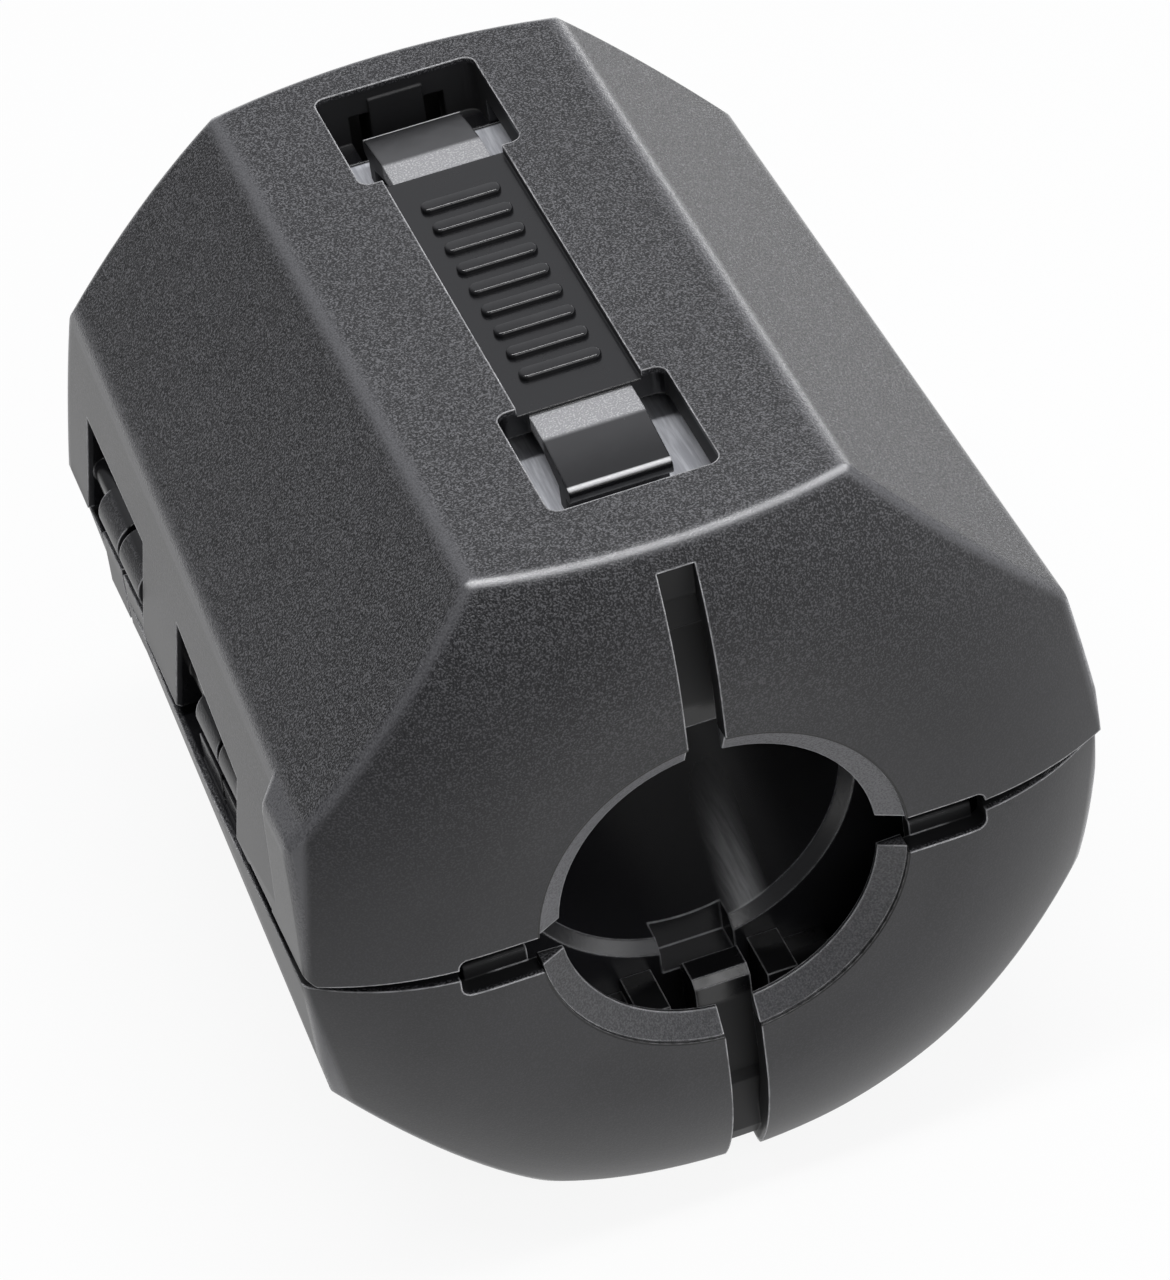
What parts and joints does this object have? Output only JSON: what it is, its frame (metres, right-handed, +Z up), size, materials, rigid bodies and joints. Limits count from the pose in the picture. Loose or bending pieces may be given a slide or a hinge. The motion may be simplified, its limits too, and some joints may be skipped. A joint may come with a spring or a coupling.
{
  "type": "clip-on ferrite bead",
  "caption": "Large clip-on ferrite bead: hinged octagonal black nylon case with domed ends, holding a split ferrite core with a round cable hole through its length.",
  "frame": {"origin": "centre of the cable hole, on the parting plane, midway along the case", "axes": "+Y along the cable hole away from the pictured end, +X from the hinge towards the latch, +Z up through the case half with the sunk plate"},
  "size_m": [0.0608, 0.0708, 0.0604],
  "materials": {
    "case": "fine spark texture on black nylon",
    "ferrite": "ground and tumbled grey ferrite"
  },
  "bodies": {
    "lower_half": {"lower_case": "case", "lower_core": "ferrite"},
    "upper_half": {"upper_case": "case", "upper_core": "ferrite"}
  },
  "joints": [
    {"name": "case_hinge", "type": "hinge", "parent": "lower_half", "child": "upper_half", "pos_m": [-0.0273, 0, 0.0036], "axis": [0, -1, 0], "range_deg": [0, 105]}
  ]
}
